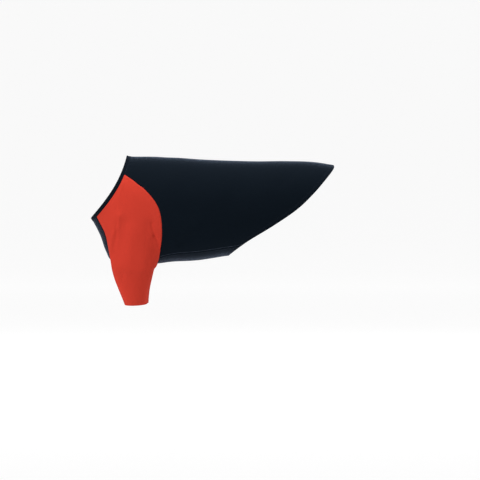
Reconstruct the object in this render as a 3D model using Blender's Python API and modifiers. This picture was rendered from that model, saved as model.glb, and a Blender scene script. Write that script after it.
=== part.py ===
"""Dog T-shirt with raglan sleeves, as it stands when worn: a navy knit body and two red sleeves.

The head end is at -X, the tail end at +X, up is +Z, and Y = 0 is the plane of symmetry.
The origin is on the inner face of the back panel at the withers, where the wearer carries it.
All sizes below are millimetres.
"""

from collections import namedtuple

import bpy
import numpy as np

for old in list(bpy.data.objects):
    bpy.data.objects.remove(old, do_unlink=True)

METRES = 0.001  # metres in a millimetre

# ---------------------------------------------------------------- driving dimensions
WALL = 1.5  # knit cloth
SEAM_GAP = 0.4  # clear gap between two sewn pieces, across the seam
BAND_WIDTH = 10.5  # neck binding, measured back from the neck edge
BAND_WALL = 2.3  # the binding is folded double
BAND_PROUD = 0.6  # how far the binding stands out of the panels it edges
NECK_BOW = 14.5  # the sides of the neck edge lie this far behind its top and its lowest point
NECK_SKEW = 0.2  # and bow by this share more near the top than half way down
FOLD_EASE = 16.0  # a fold reaches its full height this far from a seam
FOLD_FADE = 0.35  # and is this share lower at its far end than at its start
UPPER_ROUNDNESS = 2.2  # superellipse power of the upper half of every ring

CUFF_RISE = 0.05  # the back of a cuff is higher than its front, by this share of its length
CUFF_DROP = 4.0  # the outer side of a cuff hangs this much lower than its ends
LEG_LEAN = 0.07  # rearward lean of the cloth that hangs from the armhole under the chest
# Angles on a sleeve's rings that lie below these points of the armhole, in turn: the armpit, the middle of
# the front seam, the front seam's top, the rear seam's top, and the armpit again.
LEG_ANGLES = (-160.0, -35.0, 45.0, 112.0, 200.0)
INSET = 0.1  # the sleeve's first two rows lie on the figure, each this share of the way into the armhole
DROP = 3.5  # under the chest they hang straight down, this far apart
DOWN_FROM_Z, DOWN_BELOW_Z = -165.0, -262.0  # between these heights the sleeve turns from the flank to the leg
STILL_ON_FIGURE = 0.1  # the second row is held to the figure where it has turned less than this share

# Columns and rows of each piece's grid.
NECK_BACK_STEPS, NECK_SLEEVE_STEPS, NECK_CHEST_STEPS = 23, 9, 6
REAR_SEAM_STEPS, FRONT_SEAM_STEPS = 16, 18
SIDE_SEAM_STEPS, SHOULDER_ROWS, LEG_ROWS, BAND_ROWS = 9, 11, 9, 3

FINE = 400  # points at which a curve is measured
HALVINGS = 40  # steps of a search by halving
SMALL = 1e-3  # a small change of ring or angle, for slopes

# ---------------------------------------------------------------- the figure that the cloth goes round
# One row for each ring that the cloth passes round, from the head to the tail. A ring stands in a plane
# across the body and is given by its top and its lowest point in the side view, its half width, and how
# square its lower half is.
Ring = namedtuple("Ring", "top_x top_z low_x low_z half_width low_square")
RINGS = (
    Ring(-80.0, 22.0, -189.0, -128.0, 62.0, 2.2),
    Ring(-63.5, 4.7, -161.0, -164.5, 73.0, 2.2),
    Ring(-51.0, 1.8, -149.5, -183.0, 84.0, 2.25),
    Ring(-38.0, 1.5, -134.3, -214.0, 93.0, 2.3),
    Ring(-22.0, 1.5, -120.5, -253.0, 99.0, 2.4),
    Ring(-3.0, 1.5, -100.5, -281.0, 103.0, 2.45),
    Ring(19.0, 1.0, -39.0, -287.0, 105.0, 2.5),
    Ring(43.0, -0.5, 13.5, -287.5, 107.0, 2.5),
    Ring(81.0, -2.0, 62.0, -282.0, 108.0, 2.45),
    Ring(135.0, -6.0, 127.0, -278.5, 108.0, 2.4),
    Ring(202.5, -9.0, 202.5, -267.0, 106.0, 2.35),
    Ring(283.5, -11.0, 283.5, -253.0, 102.0, 2.3),
    Ring(364.5, -10.5, 364.5, -238.5, 97.0, 2.3),
    Ring(445.5, -13.5, 445.5, -230.0, 92.0, 2.25),
    Ring(526.5, -28.0, 526.5, -225.0, 86.0, 2.2),
)
NECK_RING = 1  # the ring whose plane holds the top and the lowest point of the neck edge

# ---------------------------------------------------------------- seams, drawn in the side view
SidePoint = namedtuple("SidePoint", "x z")
# Raglan seam behind the sleeve, from the neck binding down to the armpit.
REAR_SEAM = (
    SidePoint(-66.7, -49.0),
    SidePoint(-45.4, -63.0),
    SidePoint(-24.4, -79.2),
    SidePoint(-6.5, -95.4),
    SidePoint(9.9, -114.3),
    SidePoint(21.5, -133.2),
    SidePoint(28.7, -154.8),
    SidePoint(32.1, -179.1),
    SidePoint(32.9, -203.4),
    SidePoint(31.6, -227.7),
    SidePoint(27.6, -249.3),
    SidePoint(19.5, -271.0),
)
# Raglan seam in front of the sleeve, from the neck binding down the chest and under it to the armpit: the
# ring that it crosses and its angle round that ring.
RingPoint = namedtuple("RingPoint", "ring degrees")
FRONT_SEAM = (
    RingPoint(1.7, 142.3),
    RingPoint(2.2, 143.2),
    RingPoint(2.65, 143.0),
    RingPoint(3.05, 142.3),
    RingPoint(3.45, 141.4),
    RingPoint(3.8, 141.7),
    RingPoint(4.15, 143.6),
    RingPoint(4.6, 146.5),
    RingPoint(5.2, 150.0),
    RingPoint(5.7, 151.3),
    RingPoint(6.4, 150.4),
)
# Seam along the lower flank, from the armpit to the hem.
SIDE_SEAM = (
    SidePoint(19.5, -271.0),
    SidePoint(54.0, -262.5),
    SidePoint(108.0, -257.0),
    SidePoint(175.5, -248.5),
    SidePoint(248.0, -237.5),
)
# The hem slants forward from the rump to the belly.
HEM = (
    SidePoint(488.0, -12.0),
    SidePoint(494.5, -24.0),
    SidePoint(491.9, -33.3),
    SidePoint(476.0, -54.9),
    SidePoint(439.5, -98.1),
    SidePoint(394.5, -141.3),
    SidePoint(332.0, -184.5),
    SidePoint(261.5, -227.7),
    SidePoint(217.5, -260.1),
    SidePoint(206.0, -271.0),
)

# ---------------------------------------------------------------- sleeves below the armpit
# One row for each ring of a sleeve at +Y, from the armpit to the cuff: its height, its front and its rear
# in the side view, and its inner and its outer side.
LegRing = namedtuple("LegRing", "z front rear inner outer")
LEG_RINGS = (
    LegRing(-306.0, -101.0, 7.5, 49.0, 112.0),
    LegRing(-330.0, -94.0, 2.0, 49.0, 110.0),
    LegRing(-360.0, -82.0, -4.0, 49.5, 107.0),
    LegRing(-395.5, -67.0, -7.5, 50.0, 103.5),
)
# The cloth is stretched like a web from the armpit to the back of the leg. Its edge in the side view:
WEB = (
    SidePoint(19.5, -271.0),
    SidePoint(20.3, -279.0),
    SidePoint(19.0, -286.0),
    SidePoint(14.5, -292.5),
    SidePoint(10.8, -299.0),
)

# ---------------------------------------------------------------- folds
# A ridge (height above 0) or a trough (below 0) along a line in the side view. "side" is 1 where it is
# on the wearer's right, -1 on its left, 0 on both. "width" is the reach to either side of the line.
Fold = namedtuple("Fold", "piece side x0 z0 x1 z1 width height")
FOLDS = (
    Fold("sleeve", -1, -84.0, -162.0, -101.0, -244.0, 13.0, 3.4),
    Fold("sleeve", -1, -70.0, -176.0, -84.0, -262.0, 13.0, -2.6),
    Fold("sleeve", -1, -42.0, -196.0, -58.0, -290.0, 17.0, 1.8),
    Fold("sleeve", -1, -2.0, -180.0, 8.0, -250.0, 14.0, -3.4),
    Fold("sleeve", -1, -92.0, -322.0, -78.0, -362.0, 14.0, -1.8),
    Fold("sleeve", 1, -88.0, -170.0, -98.0, -236.0, 14.0, 3.0),
    Fold("sleeve", 1, -66.0, -190.0, -74.0, -250.0, 13.0, -2.4),
    Fold("sleeve", 1, -6.0, -172.0, 6.0, -240.0, 15.0, -3.0),
    Fold("sleeve", 1, -40.0, -214.0, -52.0, -276.0, 16.0, 1.8),
    Fold("sleeve", 1, -84.0, -334.0, -72.0, -372.0, 14.0, -1.6),
    Fold("back", -1, 88.0, -228.0, 154.0, -200.0, 17.0, -3.2),
    Fold("back", -1, 92.0, -196.0, 150.0, -168.0, 20.0, 1.8),
    Fold("back", 1, 76.0, -220.0, 136.0, -202.0, 17.0, -2.8),
    Fold("back", 1, 196.0, -200.0, 246.0, -164.0, 20.0, -2.0),
)


# ---------------------------------------------------------------- curves and the figure's surface
def smooth_through(rows, places):
    """Catmull-Rom curve through the rows, read at fractional row numbers."""
    rows = np.asarray(rows, float)
    places = np.asarray(places, float)
    first = np.clip(np.floor(places).astype(int), 0, len(rows) - 2)
    t = (places - first)[..., None]
    before = rows[np.maximum(first - 1, 0)]
    start = rows[first]
    end = rows[first + 1]
    after = rows[np.minimum(first + 2, len(rows) - 1)]
    bend = 2 * before - 5 * start + 4 * end - after
    twist = 3 * (start - end) + after - before
    return start + 0.5 * t * ((end - before) + t * (bend + t * twist))


def figure(ring, angle, side=1):
    """Points of the figure. Angle 0 is the top of a ring and pi its lowest point."""
    top_x, top_z, low_x, low_z, half_width, low_square = np.moveaxis(smooth_through(RINGS, ring), -1, 0)
    across = np.sin(angle)
    along = np.cos(angle)
    power = np.where(along >= 0, UPPER_ROUNDNESS, low_square)
    reach = (np.abs(across) ** power + np.abs(along) ** power) ** (-1 / power)
    x = (top_x + low_x) / 2 + reach * along * (top_x - low_x) / 2
    z = (top_z + low_z) / 2 + reach * along * (top_z - low_z) / 2
    return np.stack([x, side * half_width * reach * across, z], -1)


def figure_normal(ring, angle, side=1):
    """Outward unit normals of the figure."""
    lengthwise = figure(ring + SMALL, angle, side) - figure(ring - SMALL, angle, side)
    around = figure(ring, angle + SMALL, side) - figure(ring, angle - SMALL, side)
    normal = np.cross(lengthwise, around) * side
    return normal / np.linalg.norm(normal, axis=-1, keepdims=True)


def where_on_figure(points):
    """Ring and angle of side-view points, as rows of two."""
    x, z = np.asarray(points, float).T
    low = np.zeros(len(x))
    high = np.full(len(x), len(RINGS) - 1.0)
    for _ in range(HALVINGS):
        ring = (low + high) / 2
        top_x, top_z, low_x, low_z, _, low_square = np.moveaxis(smooth_through(RINGS, ring), -1, 0)
        behind = (x - low_x) * (top_z - low_z) > (z - low_z) * (top_x - low_x)
        low = np.where(behind, ring, low)
        high = np.where(behind, high, ring)
    half_x = (top_x - low_x) / 2
    half_z = (top_z - low_z) / 2
    along = (x - low_x - half_x) * half_x + (z - low_z - half_z) * half_z
    along = np.clip(along / (half_x**2 + half_z**2), -1, 1)
    power = np.where(along >= 0, UPPER_ROUNDNESS, low_square)
    return np.stack([ring, np.arctan2((1 - np.abs(along) ** power) ** (1 / power), along)], -1)


def ring_where(angle, signed_distance):
    """The ring at which signed_distance(points) changes sign, for each angle."""
    low = np.zeros(len(angle))
    high = np.full(len(angle), len(RINGS) - 1.0)
    for _ in range(HALVINGS):
        ring = (low + high) / 2
        short = signed_distance(figure(ring, angle)) < 0
        low = np.where(short, ring, low)
        high = np.where(short, high, ring)
    return ring


def neck_rings(angle, back):
    """Rings of the line that runs this far behind the neck edge."""
    neck = RINGS[NECK_RING]
    chord = np.array([neck.top_x - neck.low_x, neck.top_z - neck.low_z])
    half = np.linalg.norm(chord) / 2
    rearward = np.array([chord[1], -chord[0]]) / (2 * half)
    middle = np.array([neck.top_x + neck.low_x, neck.top_z + neck.low_z]) / 2

    def behind_edge(points):
        offset = points[:, [0, 2]] - middle
        along = np.clip(offset @ chord / (2 * half * half), -1, 1)
        return offset @ rearward - NECK_BOW * (1 - along**2) * (1 + NECK_SKEW * along) - back

    return ring_where(angle, behind_edge)


def hem_rings(angle):
    """Rings of the hem."""
    line = smooth_through(HEM, np.linspace(0, len(HEM) - 1, FINE))[::-1]

    def past_hem(points):
        return points[:, 0] - np.interp(points[:, 2], line[:, 1], line[:, 0])

    return ring_where(angle, past_hem)


def lengths_along(rows):
    """The length from the first of these (ring, angle) rows to each one, measured on the figure."""
    points = figure(rows[:, 0], rows[:, 1])
    return np.append(0, np.cumsum(np.linalg.norm(np.diff(points, axis=0), axis=1)))


def even_steps(rows, count):
    """Points at equal lengths along a curve of (ring, angle) rows."""
    fine = smooth_through(rows, np.linspace(0, len(rows) - 1, FINE))
    length = lengths_along(fine)
    wanted = np.linspace(0, length[-1], count + 1)
    return np.stack([np.interp(wanted, length, fine[:, 0]), np.interp(wanted, length, fine[:, 1])], -1)


# ---------------------------------------------------------------- seam lines that two pieces share
def neck_line(first_angle, last_angle, count, back):
    """Part of the line this far behind the neck edge, as (ring, angle) rows."""
    angle = np.linspace(first_angle, last_angle, FINE)
    return even_steps(np.stack([neck_rings(angle, back), angle], -1), count)


# Angles at which the raglan seams meet the neck.
BACK_CORNER, CHEST_CORNER = where_on_figure(REAR_SEAM[:1])[0, 1], np.radians(FRONT_SEAM[0].degrees)

neck_back = neck_line(0, BACK_CORNER, NECK_BACK_STEPS, BAND_WIDTH)
neck_sleeve = neck_line(BACK_CORNER, CHEST_CORNER, NECK_SLEEVE_STEPS, BAND_WIDTH)
neck_chest = neck_line(CHEST_CORNER, np.pi, NECK_CHEST_STEPS, BAND_WIDTH)

rear_rows = where_on_figure(REAR_SEAM)
rear_rows[0] = neck_back[-1]
rear_seam = even_steps(rear_rows, REAR_SEAM_STEPS)

front_rows = np.vstack([[(row.ring, np.radians(row.degrees)) for row in FRONT_SEAM], rear_seam[-1:]])
front_rows[0] = neck_sleeve[-1]
front_seam = even_steps(front_rows, FRONT_SEAM_STEPS)

side_rows = where_on_figure(SIDE_SEAM)
side_rows[0] = rear_seam[-1]
side_rows[-1, 0] = hem_rings(side_rows[-1:, 1])[0]
side_seam = even_steps(side_rows, SIDE_SEAM_STEPS)


def hem_line(first_angle, last_angle, count):
    """Part of the hem as (ring, angle) rows."""
    angle = np.linspace(first_angle, last_angle, FINE)
    return even_steps(np.stack([hem_rings(angle), angle], -1), count)


hem_back = hem_line(0, side_seam[-1, 1], NECK_BACK_STEPS - SIDE_SEAM_STEPS)
hem_belly = hem_line(side_seam[-1, 1], np.pi, NECK_CHEST_STEPS)


# ---------------------------------------------------------------- surfaces
def patch(start, end, left, right):
    """Grid of (ring, angle) filled in between four edges: rows from start to end, columns left to right."""
    u = np.linspace(0, 1, len(left))[:, None, None]
    v = np.linspace(0, 1, len(start))[None, :, None]
    between_sides = (1 - v) * left[:, None] + v * right[:, None]
    between_ends = (1 - u) * start[None] + u * end[None]
    corners = (1 - u) * ((1 - v) * start[0] + v * start[-1]) + u * ((1 - v) * end[0] + v * end[-1])
    return between_sides + between_ends - corners


def straight_run(start, end, like):
    """A line along the top or the bottom of the figure, stepped as the edge it faces is."""
    length = lengths_along(like)
    fine = np.linspace(start, end, FINE)
    run = lengths_along(fine)
    ring = np.interp(length / length[-1] * run[-1], run, fine[:, 0])
    return np.stack([ring, np.full(len(ring), start[1])], -1)


def normals_of(grid, closed):
    """Unit normals of a grid of points, rows by columns; closed where the columns go all the way round."""
    down = np.gradient(grid, axis=0)
    if closed:
        along = np.roll(grid, -1, 1) - np.roll(grid, 1, 1)
    else:
        along = np.gradient(grid, axis=1)
    normal = np.cross(down, along)
    return normal / np.linalg.norm(normal, axis=-1, keepdims=True)


def folded(grid, normal, piece, side, sewn):
    """The grid moved along its outward normals by this piece's folds, which fade out at its sewn edges."""
    height = np.zeros(grid.shape[:2])
    from_edge = np.linalg.norm(grid[:, :, None] - sewn[None, None], axis=-1).min(2)
    free = np.clip(from_edge / FOLD_EASE, 0, 1)
    for fold in FOLDS:
        if fold.piece != piece or fold.side not in (side, 0):
            continue
        start = np.array([fold.x0, fold.z0])
        run = np.array([fold.x1, fold.z1]) - start
        offset = grid[..., [0, 2]] - start
        share = np.clip(offset @ run / (run @ run), 0, 1)
        away = np.linalg.norm(offset - share[..., None] * run, axis=-1)
        facing = np.clip(normal[..., 1] * side, 0, 1)
        height += fold.height * facing * np.exp(-((away / fold.width) ** 2)) * (1 - FOLD_FADE * share)
    return grid + (height * free)[..., None] * normal


def drawn_in(grid, edges, only=slice(None)):
    """The grid with its sewn edges drawn in by half the seam gap, in the surface and square to the edge."""
    grid = grid.copy()
    views = {
        "first_row": (grid[0], grid[1]),
        "last_row": (grid[-1], grid[-2]),
        "first_column": (grid[:, 0], grid[:, 1]),
        "last_column": (grid[:, -1], grid[:, -2]),
    }
    moves = []
    for edge in edges:
        line, inner = views[edge]
        along = np.gradient(line, axis=0)
        along /= np.linalg.norm(along, axis=1, keepdims=True)
        inward = inner - line
        inward -= (inward * along).sum(1, keepdims=True) * along
        inward /= np.linalg.norm(inward, axis=1, keepdims=True)
        moves.append((line, inward * SEAM_GAP / 2))
    for line, move in moves:
        line[only] += move[only]
    return grid


# ---------------------------------------------------------------- objects
def material(name, colour, roughness):
    made = bpy.data.materials.new(name)
    made.use_nodes = True
    shader = made.node_tree.nodes["Principled BSDF"]
    shader.inputs["Base Color"].default_value = (*colour, 1)
    shader.inputs["Roughness"].default_value = roughness
    shader.inputs["Metallic"].default_value = 0
    shader.inputs["Sheen Weight"].default_value = 0.3
    return made


def cloth_object(name, grid, closed, wall, surface):
    """A sewn piece: a loft through the grid's rows, thickened inwards."""
    rows, columns = grid.shape[:2]
    index = np.arange(rows * columns).reshape(rows, columns)
    if closed:
        index = np.hstack([index, index[:, :1]])
    corners = (index[:-1, :-1], index[1:, :-1], index[1:, 1:], index[:-1, 1:])
    quads = np.stack(corners, -1).reshape(-1, 4)
    mesh = bpy.data.meshes.new(name)
    mesh.from_pydata((grid.reshape(-1, 3) * METRES).tolist(), [], quads.tolist())
    mesh.validate()
    mesh.update()
    mesh.shade_smooth()
    mesh.materials.append(surface)
    piece = bpy.data.objects.new(name, mesh)
    shell = piece.modifiers.new("cloth", "SOLIDIFY")
    shell.thickness = wall * METRES
    shell.offset = -1
    garment.objects.link(piece)


def joined_halves(left, right):
    """A whole panel from its halves at -Y and at +Y, whose first columns both lie on Y = 0."""
    return np.hstack([left[:, :0:-1], right])


garment = bpy.data.collections.new("dog_t_shirt")
bpy.context.scene.collection.children.link(garment)
navy = material("navy_knit", (0.012, 0.016, 0.026), 0.85)
red = material("red_knit", (0.52, 0.045, 0.028), 0.85)
binding = material("navy_rib", (0.010, 0.013, 0.021), 0.9)


# ---------------------------------------------------------------- back panel
def back_half(side):
    """The back panel from the spine down to one raglan seam, side seam and hem."""
    lower = np.vstack([hem_back, side_seam[-2::-1]])
    spine = straight_run(neck_back[0], lower[0], rear_seam)
    spots = patch(neck_back, lower, spine, rear_seam)
    points = figure(spots[..., 0], spots[..., 1], side)
    normal = figure_normal(spots[..., 0], spots[..., 1], side)
    sewn = np.vstack([points[0], points[:, -1], points[-1, -SIDE_SEAM_STEPS:]])
    return folded(points, normal, "back", side, sewn)


def back_panel():
    """One piece over the back and both flanks; its free lower edge is the hem."""
    whole = joined_halves(back_half(-1), back_half(1))
    whole = drawn_in(whole, ("first_row", "first_column", "last_column"))
    side_seams = np.r_[: SIDE_SEAM_STEPS + 1, -SIDE_SEAM_STEPS - 1 : 0]
    cloth_object("back_panel", drawn_in(whole, ("last_row",), side_seams), False, WALL, navy)


# ---------------------------------------------------------------- belly panel
def belly_panel():
    """One piece from the neck binding down the chest and under the belly to the hem."""
    edge = np.vstack([front_seam, side_seam[1:]])
    keel = straight_run(neck_chest[-1], hem_belly[-1], edge)
    spots = patch(neck_chest[::-1], hem_belly[::-1], keel, edge)
    half = figure(spots[..., 0], spots[..., 1])
    whole = joined_halves(half * (1, -1, 1), half)
    whole = drawn_in(whole, ("first_row", "first_column", "last_column"))
    cloth_object("belly_panel", whole[:, ::-1], False, WALL, navy)


# ---------------------------------------------------------------- sleeves
def around_loop(points):
    """Lengths from the first point of a closed loop to each point, and the whole length."""
    steps = np.linalg.norm(np.roll(points, -1, 0) - points, axis=1)
    return np.append(0, np.cumsum(steps)[:-1]), steps.sum()


def leg_points(angle, rows):
    """Rows of the sleeve from the armpit to the cuff. Angle 0 is the front, 90 degrees the outer side."""
    down = np.linspace(0, len(LEG_RINGS) - 1, rows + 1)
    z, front, rear, inner, outer = np.moveaxis(smooth_through(LEG_RINGS, down)[:, None], -1, 0)
    level = np.linspace(0, 1, rows + 1)[:, None] ** 2
    x = -(rear - front) / 2 * np.cos(angle)
    y = (outer - inner) / 2 * np.sin(angle)
    z = z + level * (CUFF_RISE * x - CUFF_DROP * np.sin(angle))
    return np.stack([(front + rear) / 2 + x, (inner + outer) / 2 + y, z], -1)


def armhole():
    """The (ring, angle) rows round the armhole at +Y, and the numbers of the rows that LEG_ANGLES places."""
    parts = (front_seam[:0:-1], neck_sleeve[:0:-1], rear_seam[:-1])
    armpit, neck_front, neck_rear, armpit_again = np.cumsum([0] + [len(part) for part in parts])
    return np.vstack(parts), (armpit, neck_front // 2, neck_front, neck_rear, armpit_again)


def inside_armhole(spots, share, drop):
    """The armhole's loop drawn in towards its middle: on the figure above, straight down under the chest."""
    edge = figure(spots[:, 0], spots[:, 1])
    inset = spots + share * (spots.mean(0) - spots)
    on_figure = figure(inset[:, 0], inset[:, 1])
    under = edge + drop * np.array([LEG_LEAN, 0, -1])
    low = np.clip((DOWN_FROM_Z - edge[:, 2:]) / (DOWN_FROM_Z - DOWN_BELOW_Z), 0, 1)
    low = low * low * (3 - 2 * low)
    return (1 - low) * on_figure + low * under, low[:, 0]


def web_edge(armpit, leg):
    """Equal steps down the web's edge, from the armpit to the first of these two points of the leg."""
    points = np.array([(spot.x, armpit[1], spot.z) for spot in WEB])
    points[:, 1] += (leg[0, 1] - armpit[1]) * (points[:, 2] - points[0, 2]) / (leg[0, 2] - points[0, 2])
    fine = smooth_through(np.vstack([points, leg]), np.linspace(0, len(WEB), FINE))
    run = np.append(0, np.cumsum(np.linalg.norm(np.diff(fine, axis=0), axis=1)))
    wanted = np.linspace(0, run[-1], SHOULDER_ROWS + 1)
    return np.stack([np.interp(wanted, run, axis) for axis in fine.T], -1)


def least_bent(grid, held):
    """The closed grid with its free points set where its squared second differences sum to the least."""
    rows, columns = grid.shape[:2]
    lengthwise = np.kron(np.diff(np.eye(rows), 2, axis=0), np.eye(columns))
    turn = np.roll(np.eye(columns), 1, 0) + np.roll(np.eye(columns), -1, 0) - 2 * np.eye(columns)
    bend = lengthwise + np.kron(np.eye(rows)[1:-1], turn)
    points = grid.reshape(-1, 3).copy()
    free = ~held.reshape(-1)
    points[free] = np.linalg.lstsq(bend[:, free], -bend[:, ~free] @ points[~free], rcond=None)[0]
    return points.reshape(grid.shape)


def sleeve_grid():
    """Rows from the armhole over the shoulder to the armpit's level, then down the leg to the cuff."""
    spots, corners = armhole()
    edge = figure(spots[:, 0], spots[:, 1])
    length, whole = around_loop(edge)
    corner_length = np.append(length, whole)[list(corners)]
    angle = np.interp(length, corner_length, np.radians(LEG_ANGLES))
    leg = leg_points(angle, LEG_ROWS)
    shoulder = np.vstack([np.linspace(edge, leg[0], SHOULDER_ROWS + 1), leg[1:2]])
    shoulder[1], low = inside_armhole(spots, INSET, DROP)
    shoulder[2], low = inside_armhole(spots, 2 * INSET, 2 * DROP)
    shoulder[:-1, 0] = web_edge(edge[0], leg[:2, 0])
    held = np.zeros(shoulder.shape[:2], bool)
    held[[0, 1, -2, -1]] = True
    held[2] = low < STILL_ON_FIGURE
    held[:, 0] = True
    return np.vstack([least_bent(shoulder, held), leg[2:]])


def drawn_in_loop(grid):
    """The grid with its closed first row drawn in by half the seam gap."""
    grid = grid.copy()
    line = grid[0]
    along = np.roll(line, -1, 0) - np.roll(line, 1, 0)
    along /= np.linalg.norm(along, axis=1, keepdims=True)
    inward = grid[1] - line
    inward -= (inward * along).sum(1, keepdims=True) * along
    inward /= np.linalg.norm(inward, axis=1, keepdims=True)
    grid[0] = line + inward * SEAM_GAP / 2
    return grid


def sleeve(name, side):
    """One closed tube, its columns turned round at +Y so that both sleeves face outwards."""
    grid = sleeve_grid() * (1, side, 1)
    if side > 0:
        grid = grid[:, ::-1]
    grid = folded(grid, normals_of(grid, True), "sleeve", side, grid[0])
    cloth_object(name, drawn_in_loop(grid), True, WALL, red)


# ---------------------------------------------------------------- neck binding
def neck_band():
    """A closed strip on the neck edge, a little proud of the panels."""
    backs = np.linspace(0, BAND_WIDTH, BAND_ROWS + 1)
    steps = (NECK_BACK_STEPS, NECK_SLEEVE_STEPS, NECK_CHEST_STEPS)
    corners = (0, BACK_CORNER, CHEST_CORNER, np.pi)
    rows = []
    for back in backs:
        runs = [
            neck_line(first, last, count, back)[:-1]
            for first, last, count in zip(corners, corners[1:], steps)
        ]
        half = np.vstack(runs + [neck_line(CHEST_CORNER, np.pi, 1, back)[-1:]])
        outer = figure(half[:, 0], half[:, 1]) + BAND_PROUD * figure_normal(half[:, 0], half[:, 1])
        rows.append(np.vstack([outer, outer[-2:0:-1] * (1, -1, 1)]))
    grid = drawn_in_loop(np.array(rows)[::-1])
    cloth_object("neck_band", grid[:, ::-1], True, BAND_WALL, binding)


back_panel()
belly_panel()
sleeve("sleeve_left", -1)
sleeve("sleeve_right", 1)
neck_band()
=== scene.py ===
"""The finished look of a dog T-shirt: navy and red jersey, sewn and worn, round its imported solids.

Lengths in the tables are millimetres. The head end is at -X, the tail end at +X and up is +Z.
"""

from collections import namedtuple

import bmesh
import bpy
import numpy as np
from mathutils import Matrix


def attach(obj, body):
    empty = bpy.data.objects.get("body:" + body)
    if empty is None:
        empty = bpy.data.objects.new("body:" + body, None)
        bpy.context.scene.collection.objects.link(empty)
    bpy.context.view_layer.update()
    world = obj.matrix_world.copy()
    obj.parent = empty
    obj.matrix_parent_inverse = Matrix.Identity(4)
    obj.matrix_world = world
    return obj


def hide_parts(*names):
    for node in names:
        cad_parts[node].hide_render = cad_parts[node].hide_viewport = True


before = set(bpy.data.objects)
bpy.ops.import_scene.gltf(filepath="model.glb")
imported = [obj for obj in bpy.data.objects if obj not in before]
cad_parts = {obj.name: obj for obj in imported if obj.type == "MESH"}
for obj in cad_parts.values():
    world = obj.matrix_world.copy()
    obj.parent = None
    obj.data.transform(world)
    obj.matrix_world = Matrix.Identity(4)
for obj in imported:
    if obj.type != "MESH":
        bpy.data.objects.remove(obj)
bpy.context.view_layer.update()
MM = 0.001


# ---------------------------------------------------------------- back panel
# One piece of navy cotton jersey over the back and both flanks, from the neck to the tail. It is cut along
# the wales and overlocked to the sleeves and the belly panel, with a long slanting hem, turned in and sewn.
Ring = namedtuple("Ring", "top_x top_z low_x low_z half_width low_square")
RINGS = (
    Ring(-80.0, 22.0, -189.0, -128.0, 62.0, 2.2),
    Ring(-63.5, 4.7, -161.0, -164.5, 73.0, 2.2),
    Ring(-51.0, 1.8, -149.5, -183.0, 84.0, 2.25),
    Ring(-38.0, 1.5, -134.3, -214.0, 93.0, 2.3),
    Ring(-22.0, 1.5, -120.5, -253.0, 99.0, 2.4),
    Ring(-3.0, 1.5, -100.5, -281.0, 103.0, 2.45),
    Ring(19.0, 1.0, -39.0, -287.0, 105.0, 2.5),
    Ring(43.0, -0.5, 13.5, -287.5, 107.0, 2.5),
    Ring(81.0, -2.0, 62.0, -282.0, 108.0, 2.45),
    Ring(135.0, -6.0, 127.0, -278.5, 108.0, 2.4),
    Ring(202.5, -9.0, 202.5, -267.0, 106.0, 2.35),
    Ring(283.5, -11.0, 283.5, -253.0, 102.0, 2.3),
    Ring(364.5, -10.5, 364.5, -238.5, 97.0, 2.3),
    Ring(445.5, -13.5, 445.5, -230.0, 92.0, 2.25),
    Ring(526.5, -28.0, 526.5, -225.0, 86.0, 2.2),
)
NECK_RING = 1  # the ring whose plane holds the top and the lowest point of the neck edge
UPPER_ROUNDNESS = 2.2  # superellipse power of the upper half of every ring
NECK_BOW, NECK_SKEW = 14.5, 0.2  # the sides of the neck edge bow back so far, this share more near the top
BAND_WIDTH = 10.5  # neck binding, measured back from the neck edge

SidePoint = namedtuple("SidePoint", "x z")
REAR_SEAM = (
    SidePoint(-66.7, -49.0),
    SidePoint(-45.4, -63.0),
    SidePoint(-24.4, -79.2),
    SidePoint(-6.5, -95.4),
    SidePoint(9.9, -114.3),
    SidePoint(21.5, -133.2),
    SidePoint(28.7, -154.8),
    SidePoint(32.1, -179.1),
    SidePoint(32.9, -203.4),
    SidePoint(31.6, -227.7),
    SidePoint(27.6, -249.3),
    SidePoint(19.5, -271.0),
)
RingPoint = namedtuple("RingPoint", "ring degrees")
FRONT_SEAM = (
    RingPoint(1.7, 142.3),
    RingPoint(2.2, 143.2),
    RingPoint(2.65, 143.0),
    RingPoint(3.05, 142.3),
    RingPoint(3.45, 141.4),
    RingPoint(3.8, 141.7),
    RingPoint(4.15, 143.6),
    RingPoint(4.6, 146.5),
    RingPoint(5.2, 150.0),
    RingPoint(5.7, 151.3),
    RingPoint(6.4, 150.4),
)
SIDE_SEAM = (
    SidePoint(19.5, -271.0),
    SidePoint(54.0, -262.5),
    SidePoint(108.0, -257.0),
    SidePoint(175.5, -248.5),
    SidePoint(248.0, -237.5),
)
HEM = (
    SidePoint(488.0, -12.0),
    SidePoint(494.5, -24.0),
    SidePoint(491.9, -33.3),
    SidePoint(476.0, -54.9),
    SidePoint(439.5, -98.1),
    SidePoint(394.5, -141.3),
    SidePoint(332.0, -184.5),
    SidePoint(261.5, -227.7),
    SidePoint(217.5, -260.1),
    SidePoint(206.0, -271.0),
)
FINE = 400  # points at which a curve is measured
HALVINGS = 40  # steps of a search by halving
SMALL = 1e-3  # a small change of ring or angle, for slopes

CLOTH = 0.8  # one layer of jersey
HEM_BAND = 11.0  # depth of the turned hem
HEM_PUFF, HEM_PUFF_EASE = 0.35, 0.7  # how far the double cloth stands out, and how soon it drops off
NEEDLES, NEEDLE_GROOVE = (8.0, 10.6), 0.8  # the two rows of hem stitches, from the edge, and their half width
SEAM_DIP, SEAM_DIP_WIDTH = 0.9, 1.5  # the cloth rolls in along a seam
SEAM_PUFF, SEAM_PUFF_WIDTH, SEAM_PUFF_AT = 0.4, 2.4, 4.2  # over the allowances beside it
FOLD_EASE = 16.0  # a fold reaches its full height this far from a seam
FOLD_FADE = 0.35  # and is this share lower at its far end than at its start


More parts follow.
